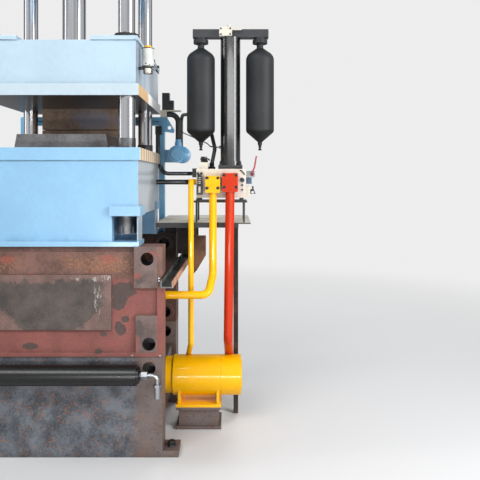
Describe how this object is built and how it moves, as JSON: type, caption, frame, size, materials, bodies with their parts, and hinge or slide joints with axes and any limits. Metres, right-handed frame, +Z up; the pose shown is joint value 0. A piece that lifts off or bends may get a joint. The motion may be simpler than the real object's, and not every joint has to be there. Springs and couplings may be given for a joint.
{
  "type": "die casting machine",
  "caption": "Vertical cold-chamber die casting press on welded frames, with four columns, a sliding platen, a side shot cylinder, accumulators and pipework.",
  "frame": {"origin": "on the floor below the centre of the press, at the middle of the four anchor bolts", "axes": "+Z up, -Y towards the operator's side at the front, +X towards the shot cylinder and accumulators"},
  "size_m": [2.4335, 1.5349, 4.68],
  "materials": {
    "rust_primer": "rusty primer",
    "rack_rust": "rusty",
    "dark_steel": "mill scale with rust spots",
    "light_blue_paint": "gloss",
    "machined_steel": "machined",
    "blackened_steel": "blackened",
    "hard_chrome": "polished",
    "die_steel": "heat-tinted",
    "black_plate": "satin",
    "cream_paint": "satin",
    "black_paint": "semi-gloss",
    "shell_black": "satin",
    "grey_black": "satin",
    "golden_paint": "gloss",
    "red_paint": "gloss",
    "zinc": "zinc plated",
    "mid_blue_paint": "gloss",
    "hose_rubber": "matte"
  },
  "bodies": {
    "machine": {"front_frame": "rust_primer", "rear_frame": "rust_primer", "front_plates": "rust_primer", "rack_frame": "rack_rust", "lower_sections": "dark_steel", "frame_ties": "dark_steel", "trough": "dark_steel", "shot_pedestal": "dark_steel", "fixed_platen": "light_blue_paint", "crosshead": "light_blue_paint", "clamp_cylinder": "light_blue_paint", "bed_plate": "machined_steel", "column_nuts": "blackened_steel", "column_collars": "blackened_steel", "columns": "hard_chrome", "lower_die": "die_steel", "die_holder": "die_steel", "platform": "black_plate", "manifold_stand": "black_plate", "manifold_block": "cream_paint", "top_valve": "cream_paint", "valve_seat": "cream_paint", "manifold_valves": "black_paint", "front_cylinder": "black_paint", "portal_cylinder": "black_paint", "portal_valve": "black_paint", "platen_pipes": "black_paint", "bladder_accumulators": "shell_black", "piston_accumulator": "shell_black", "gas_beam": "grey_black", "yellow_pipe": "golden_paint", "drain_pipe": "golden_paint", "shot_cylinder": "golden_paint", "shot_head": "golden_paint", "shot_saddle": "golden_paint", "red_pipe": "red_paint", "cylinder_fitting": "zinc", "ball_valve": "zinc", "rear_portal": "mid_blue_paint", "suction_pump": "mid_blue_paint", "shutoff_valve": "mid_blue_paint", "hoses": "hose_rubber"},
    "platen": {"moving_platen": "light_blue_paint", "face_plate": "light_blue_paint", "bush_covers": "blackened_steel", "upper_die": "die_steel", "lubricator": "cream_paint", "clamp_rod": "hard_chrome"},
    "lever": {"valve_lever": "red_paint"}
  },
  "joints": [
    {"name": "platen_slide", "type": "slide", "parent": "machine", "child": "platen", "axis": [0, 0, 1], "range_m": [0, 0.5]},
    {"name": "valve_turn", "type": "hinge", "parent": "machine", "child": "lever", "pos_m": [1.391, 0, 1.938], "axis": [0, 1, 0], "range_deg": [0, 90]}
  ]
}
